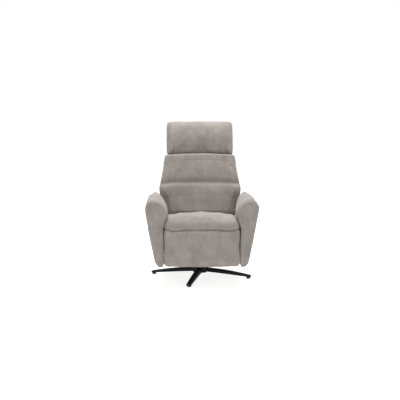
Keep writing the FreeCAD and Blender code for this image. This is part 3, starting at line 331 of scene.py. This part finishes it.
def readPoints(piece, key="co"):
    flat = np.empty(len(piece.data.vertices) * 3, dtype=np.float32)
    piece.data.vertices.foreach_get(key, flat)
    return flat.reshape(-1, 3).astype(float)


def setPoints(piece, points):
    piece.data.vertices.foreach_set("co", points.astype(np.float32).ravel())
    piece.data.update()


# mean of each point's neighbours along the edges of the skin
def neighbourMean(piece):
    ends = np.empty(len(piece.data.edges) * 2, dtype=np.int32)
    piece.data.edges.foreach_get("vertices", ends)
    first, second = ends.reshape(-1, 2).T
    size = len(piece.data.vertices)
    count = np.bincount(ends, minlength=size)

    def mean(values):
        return (np.bincount(first, values[second], size) + np.bincount(second, values[first], size)) / count
    return mean


# evens out the steps of the skin, each round in and out again so that the pad keeps its size
def evened(piece, rounds):
    mean = neighbourMean(piece)
    points = readPoints(piece)
    for factor in (0.5, -0.52) * rounds:
        points += factor * (np.stack([mean(points[:, axis]) for axis in range(3)], axis=1) - points)
    setPoints(piece, points)


# draws a face of the pad taut along one direction, and leaves its outline as it is
def drawnTaut(piece, direction, rounds):
    mean = neighbourMean(piece)
    points = readPoints(piece)
    way = np.array(direction)
    share = ramp(readPoints(piece, "normal") @ way, 0.15, 0.5)
    height = points @ way
    taut = height.copy()
    for _ in range(rounds):
        taut += 0.5 * share * (mean(taut) - taut)
    setPoints(piece, points + np.outer(taut - height, way))


def surfaceTree(source):
    return BVHTree.FromPolygons([v.co.copy() for v in source.data.vertices],
                                [tuple(p.vertices) for p in source.data.polygons])


# points of a skin that lie within reach of another piece's box
def pointsNear(points, other, reach):
    corners = readPoints(other)
    inside = (points > corners.min(axis=0) - reach) & (points < corners.max(axis=0) + reach)
    return np.nonzero(inside.all(axis=1))[0]


def heldPoints(piece, rests, reach):
    points = readPoints(piece)
    held = set()
    for name in rests:
        tree = surfaceTree(nodes[name])
        for index in pointsNear(points, nodes[name], reach):
            if tree.find_nearest(points[index], reach)[0] is not None:
                held.add(int(index))
    return sorted(held)


def blownUp(piece, held, cap):
    start = readPoints(piece)
    normals = readPoints(piece, "normal")
    group = piece.vertex_groups.new(name="held")
    group.add(held, 1.0, "REPLACE")
    cloth = piece.modifiers.new("fill", "CLOTH")
    settings = cloth.settings
    settings.quality = clothLook["quality"]
    settings.mass = clothLook["mass"]
    settings.tension_stiffness = clothLook["stretch"]
    settings.compression_stiffness = clothLook["stretch"]
    settings.shear_stiffness = clothLook["shear"]
    settings.bending_stiffness = clothLook["bend"]
    settings.use_pressure = True
    settings.uniform_pressure_force = clothLook["pressure"]
    settings.effector_weights.gravity = 0
    settings.vertex_group_mass = "held"
    cloth.point_cache.frame_start = 1
    cloth.point_cache.frame_end = clothLook["frames"]
    for number in range(1, clothLook["frames"] + 1):
        scene.frame_set(number)
    depsgraph = bpy.context.evaluated_depsgraph_get()
    move = readPoints(piece.evaluated_get(depsgraph)) - start
    piece.modifiers.clear()
    piece.vertex_groups.clear()
    scene.frame_set(1)
    swell = (move * normals).sum(axis=1)
    slide = move - normals * swell[:, None]
    length = np.linalg.norm(slide, axis=1)
    slide *= np.minimum(1.0, clothLook["slide"] / np.maximum(length, 1e-9))[:, None]
    swell = np.clip(swell, -clothLook["sink"], cap)
    setPoints(piece, start + normals * swell[:, None] + slide)


def keptClear(piece, others, gap, reach):
    points = readPoints(piece)
    for other in others:
        tree = surfaceTree(other)
        for index in pointsNear(points, other, gap):
            point = Vector(points[index])
            place, normal, _, _ = tree.find_nearest(point, reach)
            if place is not None:
                depth = (point - place).dot(normal)
                points[index] = point + normal * max(0.0, gap - depth)
    setPoints(piece, points)


# a sewn line is where the skin meets a plane; the cloth sinks there and puckers beside it
def sewn(piece, seams):
    points = readPoints(piece)
    normals = readPoints(piece, "normal")
    for seam in seams:
        away = np.abs((points - np.array(seam["point"])) @ np.array(seam["normal"]))
        sink = seam["depth"] * np.exp(-(away / seam["width"]) ** 2)
        near = np.nonzero(away < seam["width"] * puckerLook["reach"])[0]
        shift = Vector(seam["point"]) * puckerLook["shift"]
        pull = np.zeros(len(points))
        pull[near] = [noise.noise(Vector(points[index]) * puckerLook["scale"] + shift) for index in near]
        sink += seam["pucker"] * pull * np.exp(-(away / (seam["width"] * puckerLook["spread"])) ** 2)
        if "face" in seam:
            sink *= np.clip(normals @ np.array(seam["face"]) * 1.6 - 0.3, seam["around"], 1)
        points -= normals * sink[:, None]
    setPoints(piece, points)


def rumpled(piece, amount, held):
    points = readPoints(piece)
    normals = readPoints(piece, "normal")
    broad = np.array([noise.noise(Vector(p) * rumpleLook["broadScale"]) for p in points])
    drawn = points * np.array(rumpleLook["creaseScale"]) + np.array(rumpleLook["creaseShift"])
    crease = np.array([noise.noise(Vector(p)) for p in drawn])
    wave = amount * (broad * rumpleLook["broad"] + crease * rumpleLook["crease"])
    wave[held] = 0
    setPoints(piece, points + normals * wave[:, None])


madePads = {}


def makePad(name, sources, body, ownLook):
    look = dict(padCommon, **ownLook)
    piece = weldedCopy(sources, name, look["fillers"])
    remeshed(piece, look["voxel"])
    evened(piece, look["even"])
    for direction, rounds in look["taut"]:
        drawnTaut(piece, direction, rounds)
    held = heldPoints(piece, look["rests"], look["lie"])
    inward = np.full(len(piece.data.vertices), look["start"])
    inward[held] = 0
    setPoints(piece, readPoints(piece) - readPoints(piece, "normal") * inward[:, None])
    blownUp(piece, held, look["cap"])
    for shape in look["shapes"]:
        setPoints(piece, shape(readPoints(piece), readPoints(piece, "normal")))
    evened(piece, look["settle"])
    rumpled(piece, look["rumple"], held)
    sewn(piece, look["seams"])
    others = [madePads.get(other) or nodes[other] for other in look["clear"]]
    keptClear(piece, others, look["gap"], look["reach"])
    piece.data.polygons.foreach_set("use_smooth", [True] * len(piece.data.polygons))
    piece.data.materials.clear()
    piece.data.materials.append(fabric)
    fine = piece.modifiers.new("fine", "SUBSURF")
    fine.levels = 1
    fine.render_levels = 1
    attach(piece, body)
    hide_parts(*sources)
    madePads[name] = piece
    print("pad", name, len(piece.data.vertices), "points,", len(held), "held")


# how much a point faces to one side
def sideways(normals):
    return np.clip(normals[:, 0] * 1.5, -1, 1)


armSeam = {"point": (0, -0.362, 0), "normal": (0, 1, 0), "depth": 0.0032, "width": 0.0045, "pucker": 0.0016}
armLook = {"voxel": 0.0065, "start": 0.0005, "cap": 0.005, "fill": 0.9, "rumple": 0.0018, "seams": [armSeam],
           "footLow": 0.146, "footRound": 0.034, "footNarrow": 0.4, "footMiddle": 0.2685, "footDrop": 0.007,
           "dropRun": 0.06}


# the foot of an arm ends in a rounded lobe
def armFoot(points, normals):
    middle = math.copysign(armLook["footMiddle"], points[:, 0].mean())
    depth = 1 - ramp(points[:, 2], armLook["footLow"], armLook["footRound"])
    width = np.sqrt(np.maximum(armLook["footNarrow"], 1 - depth ** 2))
    points[:, 0] = middle + (points[:, 0] - middle) * width
    drop = 1 - ramp(points[:, 2], armLook["footLow"], armLook["dropRun"])
    points[:, 2] -= armLook["footDrop"] * drop ** 2
    return points


armLook["shapes"] = [armFoot]
makePad("leftArmPad", ["left_arm_pad"], "chair", dict(armLook, rests=["left_arm_frame", "left_side_plate"]))
makePad("rightArmPad", ["right_arm_pad"], "chair",
        dict(armLook, rests=["right_arm_frame", "right_side_plate", "control_bezel"]))

footrestLook = {"voxel": 0.006, "start": -0.0015, "cap": 0.005, "fill": 0.9, "rests": ["footrest_board"],
                "rumple": 0.0022, "clear": ["leftArmPad", "rightArmPad"], "top": 0.388, "brow": 0.030,
                "browFill": 0.015, "low": 0.150, "lowFill": 0.013, "highFill": 0.006, "half": 0.24,
                "sag": 0.010, "sagEnds": 0.004, "sagRun": 0.05}


# the top edge of the footrest is full, its lower corners reach out to the arms, and its lower edge hangs
def footrestFill(points, normals):
    high = ramp(points[:, 2], footrestLook["top"] - footrestLook["brow"], footrestLook["brow"])
    ahead = np.clip(-normals[:, 1] * 1.5, 0, 1)
    low = ramp(points[:, 2], footrestLook["top"], footrestLook["low"] - footrestLook["top"])
    points[:, 1] -= footrestLook["browFill"] * high ** 2 * ahead
    spread = footrestLook["lowFill"] * low ** 1.5 + footrestLook["highFill"] * high
    points[:, 0] += spread * sideways(normals)
    hang = (1 - ramp(points[:, 2], footrestLook["low"], footrestLook["sagRun"])) ** 2
    aside = ramp(np.abs(points[:, 0]), 0, footrestLook["half"])
    points[:, 2] -= hang * (footrestLook["sag"] - footrestLook["sagEnds"] * aside)
    return points


footrestLook["shapes"] = [footrestFill]
makePad("footrestPad", ["footrest_pad"], "footrest_panel", footrestLook)

seatLook = {"voxel": 0.0065, "start": 0.001, "cap": 0.010, "fill": 0.85, "lie": 0.008, "rumple": 0.002,
            "rests": ["seat_webbing", "seat_frame"], "clear": ["leftArmPad", "rightArmPad", "footrestPad"],
            "lip": 0.010, "lipFrom": 0.406, "lipRun": 0.012, "lipBehind": -0.36, "lipFade": 0.02,
            "cornerRise": 0.018, "cornerOut": 0.010, "cornerFrom": (0.185, -0.16, 0.37),
            "cornerRun": (0.05, 0.12, 0.04), "rearFrom": 0.0, "rearRun": 0.06, "rearLow": 0.385,
            "rearFade": 0.03, "rear": 0.072,
            "rearLine": ((0.0, 0.12, 0.2, 0.24), (0.090, 0.095, 0.106, 0.119)),
            "rearRise": ((0.0, 0.15, 0.24), (0.011, 0.010, 0.007))}


# the nose of the seat hangs a little over the footrest
def seatNose(points, normals):
    low = ramp(points[:, 2], seatLook["lipFrom"], -seatLook["lipRun"])
    ahead = ramp(points[:, 1], seatLook["lipBehind"], -seatLook["lipFade"])
    points[:, 2] -= seatLook["lip"] * low * ahead
    return points


# its rear corners close up to the arms
def seatCorners(points, normals):
    places = (np.abs(points[:, 0]), points[:, 1], points[:, 2])
    aside, behind, above = [ramp(*row) for row in zip(places, seatLook["cornerFrom"], seatLook["cornerRun"])]
    share = aside * behind * above
    points[:, 2] += seatLook["cornerRise"] * share * np.clip(normals[:, 2] * 1.5, 0, 1)
    points[:, 0] += seatLook["cornerOut"] * share * np.sign(points[:, 0])
    return points


# its rear edge closes up to the back
def seatRear(points, normals):
    share = ramp(points[:, 1], seatLook["rearFrom"], seatLook["rearRun"])
    share *= ramp(points[:, 2], seatLook["rearLow"], seatLook["rearFade"])
    aside = np.abs(points[:, 0])
    points[:, 1] += share * (np.interp(aside, *seatLook["rearLine"]) - seatLook["rear"])
    rise = np.interp(aside, *seatLook["rearRise"]) * np.clip(normals[:, 2] * 1.5 + 0.4, 0, 1)
    points[:, 2] += share * rise
    return points


seatLook["shapes"] = [seatNose, seatCorners, seatRear]
makePad("seatCushion", ["seat_cushion"], "chair", seatLook)


faceRing = {"half": 0.008, "facing": 0.6}


# how far out the face of a back pad stands at one level, for each point's place across
def faceOut(points, normals, level):
    along, out = toBack(points)
    ring = (np.abs(along - level) < faceRing["half"]) & (normals @ np.array(backOut) > faceRing["facing"])
    order = np.argsort(points[ring, 0])
    return np.interp(points[:, 0], points[ring, 0][order], out[ring][order])


# how much a point faces out from the back
def faceShare(normals):
    return np.clip(normals @ np.array(backOut) * 2 + 0.3, 0, 1)


backSeam = {"point": tuple(onBack(0, 0.214, 0)), "normal": tuple(backUp), "depth": 0.003, "width": 0.004,
            "pucker": 0.0015, "face": tuple(backOut), "around": 0.35}
backLook = {"voxel": 0.0065, "start": 0.001, "cap": 0.008, "fill": 0.85, "rests": ["back_board"],
            "rumple": 0.002, "taut": [(backOut, 110)], "clear": ["seatCushion", "leftArmPad", "rightArmPad"],
            "seams": [backSeam, dict(backSeam, depth=0.008, width=0.018, pucker=0.0, around=0.0)],
            "footTop": 0.125, "footRun": 0.03, "footEnd": 0.0, "footFade": 0.02, "fullHalf": 0.15,
            "fullFade": 0.08, "sideLine": ((0.13, 0.18), (0.003, 0.006)), "browFrom": 0.355, "browRun": 0.02,
            "browRound": 0.022, "top": 0.4235}


# the face of the back runs straight down to the seat in the middle, and rolls back at the corners
def backFill(points, normals):
    along, out = toBack(points)
    below = ramp(along, backLook["footTop"], -backLook["footRun"])
    below *= ramp(along, backLook["footEnd"] - backLook["footFade"], backLook["footFade"])
    middle = 1 - ramp(np.abs(points[:, 0]), backLook["fullHalf"], backLook["fullFade"])
    push = np.maximum(faceOut(points, normals, backLook["footTop"]) - out, 0) * below * middle
    points += np.outer(push * faceShare(normals), np.array(backOut))
    points[:, 0] += np.interp(along, *backLook["sideLine"]) * sideways(normals)
    return points


# its top edge stands up full under the head cushion
def backBrow(points, normals):
    along, out = toBack(points)
    above = ramp(along, backLook["browFrom"], backLook["browRun"])
    turn = ramp(along, backLook["top"] - backLook["browRound"], backLook["browRound"])
    tuck = backLook["browRound"] * (1 - np.sqrt(1 - turn ** 2))
    brow = faceOut(points, normals, backLook["browFrom"]) - tuck
    points += np.outer(np.maximum(brow - out, 0) * above * faceShare(normals), np.array(backOut))
    return points - np.outer(np.maximum(along - backLook["top"], 0), np.array(backUp))


backLook["shapes"] = [backFill, backBrow]
makePad("backPad", ["back_cushion_lower", "back_cushion_upper"], "backrest", backLook)

headSeam = {"normal": (1, 0, 0), "depth": 0.0022, "width": 0.004, "pucker": 0.0012}
headLook = {"voxel": 0.006, "start": 0.0005, "cap": 0.007, "fill": 0.85, "rumple": 0.0022,
            "rests": ["headrest_board"], "taut": [(backOut, 120)],
            "seams": [dict(headSeam, point=(side * 0.221, 0, 0)) for side in (-1, 1)],
            "clear": ["headrest_hinge_plates"], "lip": 0.0075, "lipTop": 0.468, "lipRun": 0.030,
            "settle": 9, "chinFrom": 0.515, "chinRun": 0.02, "hinge": (0.475, -0.045), "swing": 0.047,
            "fillers": [(onBack(x, 0.437, -0.047), backUp * 0.03, backOut * 0.012, Vector((0.034, 0, 0)))
                        for x in (-0.166, 0.132)]}


# the lower edge of the head cushion comes down to the top of the back
def headLip(points, normals):
    along, _ = toBack(points)
    share = ramp(along, headLook["lipTop"], -headLook["lipRun"]) ** 2
    return points - np.outer(share * headLook["lip"], np.array(backUp))


# and its face comes down straight, rounded about the hinge so that it turns clear of the back
def headChin(points, normals):
    along, out = toBack(points)
    level, depth = headLook["hinge"]
    drop = ramp(along, level, -headLook["swing"])
    reach = depth + headLook["swing"] * np.sqrt(1 - drop ** 2)
    chin = np.minimum(faceOut(points, normals, headLook["chinFrom"]), reach)
    below = ramp(along, headLook["chinFrom"], -headLook["chinRun"])
    points += np.outer(np.maximum(chin - out, 0) * below * faceShare(normals), np.array(backOut))
    along, out = toBack(points)
    radius = np.hypot(along - level, out - depth)
    over = np.maximum(radius - headLook["swing"], 0) * (along < level) * (out > depth) / radius
    points -= np.outer(over * (along - level), np.array(backUp))
    points -= np.outer(over * (out - depth), np.array(backOut))
    return points


headLook["shapes"] = [headLip, headChin]
makePad("headCushion", ["headrest_cushion"], "headrest", headLook)

shellLook = {"voxel": 0.006, "start": 0.0005, "cap": 0.003, "fill": 0.95, "rests": ["back_board"],
             "rumple": 0.001, "hem": 0.0152, "hemWidth": 0.014, "hemTurn": 0.004, "hemFrom": 0.03,
             "hemFade": 0.02, "step": 0.012}


# the cover of the back turns round the edge of the board, up to the cushion
def shellHem(points, normals):
    along, _ = toBack(points)
    levels = np.arange(along.min(), along.max(), shellLook["step"])
    halves = [np.abs(points[np.abs(along - level) < shellLook["step"], 0]).max() for level in levels]
    inner = np.interp(along, levels, halves) - shellLook["hemWidth"]
    share = ramp(np.abs(points[:, 0]), inner, shellLook["hemTurn"])
    share *= ramp(along, shellLook["hemFrom"], shellLook["hemFade"])
    share *= np.clip(normals @ np.array(backOut) * 1.5 + 0.3, 0, 1)
    return points + np.outer(share * shellLook["hem"], np.array(backOut))


shellLook["shapes"] = [shellHem]
makePad("backShell", ["back_shell"], "backrest", shellLook)
apronLook = {"voxel": 0.006, "start": 0.0005, "cap": 0.002, "fill": 0.95, "rumple": 0.0008,
             "rests": ["left_side_plate", "right_side_plate", "power_inlet"]}
makePad("rearApron", ["rear_apron"], "chair", apronLook)


# rows of stitches beside the seams, one object for each body
stitchLook = {"spacing": 0.0075, "length": 0.0026, "thickness": 0.0006, "lift": 0.0004}
armRow = {"point": (0, -0.353, 0), "normal": (0, 1, 0), "within": (2, 0.19, 0.7)}
headRows = [("headCushion", {"point": (side * 0.213, 0, 0), "normal": (1, 0, 0)}) for side in (-1, 1)]
backRow = {"normal": tuple(backUp), "within": (1, -0.5, 0.2)}
backRows = [("backPad", dict(backRow, point=tuple(onBack(0, along, 0)))) for along in (0.207, 0.221)]
stitchRows = {"chair": [("leftArmPad", armRow), ("rightArmPad", armRow)], "headrest": headRows,
              "backrest": backRows}


def stitchTree():
    tree = bpy.data.node_groups.new("stitchRow", "GeometryNodeTree")
    sockets = {}
    for label, kind in (("Geometry", "NodeSocketGeometry"), ("Spacing", "NodeSocketFloat"),
                        ("Length", "NodeSocketFloat"), ("Thickness", "NodeSocketFloat"),
                        ("Thread", "NodeSocketMaterial")):
        sockets[label] = tree.interface.new_socket(label, in_out="INPUT", socket_type=kind).identifier
    tree.interface.new_socket("Geometry", in_out="OUTPUT", socket_type="NodeSocketGeometry")
    start = tree.nodes.new("NodeGroupInput")
    end = tree.nodes.new("NodeGroupOutput")
    curve = addNode(tree, "GeometryNodeMeshToCurve", {"Mesh": start.outputs["Geometry"]})
    places = addNode(tree, "GeometryNodeCurveToPoints", {"Curve": curve.outputs[0]}, mode="LENGTH")
    tree.links.new(start.outputs["Spacing"], places.inputs["Length"])
    bead = addNode(tree, "GeometryNodeMeshUVSphere", {"Segments": 6, "Rings": 4, "Radius": 1.0})
    thickness = start.outputs["Thickness"]
    size = addNode(tree, "ShaderNodeCombineXYZ", {0: thickness, 1: thickness, 2: start.outputs["Length"]})
    rows = addNode(tree, "GeometryNodeInstanceOnPoints", {
        "Points": places.outputs["Points"], "Instance": bead.outputs["Mesh"],
        "Rotation": places.outputs["Rotation"], "Scale": size.outputs[0]})
    real = addNode(tree, "GeometryNodeRealizeInstances", {"Geometry": rows.outputs[0]})
    dyed = addNode(tree, "GeometryNodeSetMaterial", {"Geometry": real.outputs[0],
                                                    "Material": start.outputs["Thread"]})
    tree.links.new(dyed.outputs[0], end.inputs[0])
    return tree, sockets


def seamLine(bm, piece, row):
    cutter = bmesh.new()
    cutter.from_mesh(piece.data)
    cut = bmesh.ops.bisect_plane(cutter, geom=cutter.verts[:] + cutter.edges[:] + cutter.faces[:],
                                 plane_co=row["point"], plane_no=row["normal"])
    made = {}
    axis, low, high = row.get("within", (0, -1, 1))
    cutter.normal_update()
    for edge in [item for item in cut["geom_cut"] if isinstance(item, bmesh.types.BMEdge)]:
        if all(low < vert.co[axis] < high for vert in edge.verts):
            for vert in edge.verts:
                if vert not in made:
                    made[vert] = bm.verts.new(vert.co + vert.normal * stitchLook["lift"])
            bm.edges.new([made[vert] for vert in edge.verts])
    cutter.free()


def makeStitches(body, rows, tree, sockets):
    bm = bmesh.new()
    for name, row in rows:
        seamLine(bm, madePads[name], row)
    mesh = bpy.data.meshes.new(body + "Seams")
    bm.to_mesh(mesh)
    bm.free()
    piece = bpy.data.objects.new(body + "Stitches", mesh)
    scene.collection.objects.link(piece)
    modifier = piece.modifiers.new("stitches", "NODES")
    modifier.node_group = tree
    modifier[sockets["Spacing"]] = stitchLook["spacing"]
    modifier[sockets["Length"]] = stitchLook["length"]
    modifier[sockets["Thickness"]] = stitchLook["thickness"]
    modifier[sockets["Thread"]] = thread
    depsgraph = bpy.context.evaluated_depsgraph_get()
    rowMesh = bpy.data.meshes.new_from_object(piece.evaluated_get(depsgraph))
    piece.modifiers.clear()
    piece.data = rowMesh
    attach(piece, body)
    print("stitches on", body, len(rowMesh.polygons), "faces")


stitching, stitchSockets = stitchTree()
for body, rows in stitchRows.items():
    makeStitches(body, rows, stitching, stitchSockets)


# plain pale studio: floor and background read as white, the floor keeps the shadow
studio = {"floor": 14.0, "floorColour": (0.86, 0.86, 0.86, 1), "floorGlow": 0.83, "ambient": 0.17}
lamps = [
    ("softTop", (0.0, 0.45, 6.5), (0.0, 0.0, 0.5), 4.5, 545.0),
    ("softLeft", (-3.0, -3.8, 1.3), (0.0, 0.0, 0.5), 2.4, 33.0),
    ("softRight", (3.0, -3.8, 1.3), (0.0, 0.0, 0.5), 2.4, 30.0),
]


# 1 where the camera, a reflection or glass looks at the background, and 0 where it lights the chair
def seenDirectly(tree):
    path = addNode(tree, "ShaderNodeLightPath")
    seen = mathNode(tree, "MAXIMUM", path.outputs["Is Camera Ray"], path.outputs["Is Glossy Ray"])
    return mathNode(tree, "MAXIMUM", seen, path.outputs["Is Transmission Ray"])


def makeStudio():
    bm = bmesh.new()
    bmesh.ops.create_grid(bm, x_segments=8, y_segments=8, size=studio["floor"])
    mesh = bpy.data.meshes.new("studioFloor")
    bm.to_mesh(mesh)
    bm.free()
    floor = bpy.data.objects.new("studioFloor", mesh)
    scene.collection.objects.link(floor)
    material, tree, shader = newMaterial("paleFloor")
    shader.inputs["Base Color"].default_value = studio["floorColour"]
    shader.inputs["Roughness"].default_value = 0.9
    shader.inputs["Specular IOR Level"].default_value = 0.0
    strength = mathNode(tree, "MULTIPLY", seenDirectly(tree), studio["floorGlow"])
    glow = addNode(tree, "ShaderNodeEmission", {"Strength": strength})
    both = addNode(tree, "ShaderNodeAddShader", {0: shader.outputs[0], 1: glow.outputs[0]})
    tree.links.new(both.outputs[0], tree.nodes["Material Output"].inputs["Surface"])
    mesh.materials.append(material)
    world = bpy.data.worlds.new("studioWorld")
    scene.world = world
    world.use_nodes = True
    tree = world.node_tree
    seen = seenDirectly(tree)
    rest = mathNode(tree, "MULTIPLY", mathNode(tree, "SUBTRACT", 1.0, seen), studio["ambient"])
    tree.links.new(mathNode(tree, "ADD", seen, rest), tree.nodes["Background"].inputs["Strength"])
    tree.nodes["Background"].inputs["Color"].default_value = (1, 1, 1, 1)
    for name, place, aim, size, power in lamps:
        light = bpy.data.lights.new(name, "AREA")
        light.size = size
        light.energy = power
        lamp = bpy.data.objects.new(name, light)
        lamp.location = place
        lamp.rotation_euler = (Vector(aim) - Vector(place)).to_track_quat("-Z", "Y").to_euler()
        scene.collection.objects.link(lamp)


makeStudio()
print("studio:", len(lamps), "lamps")
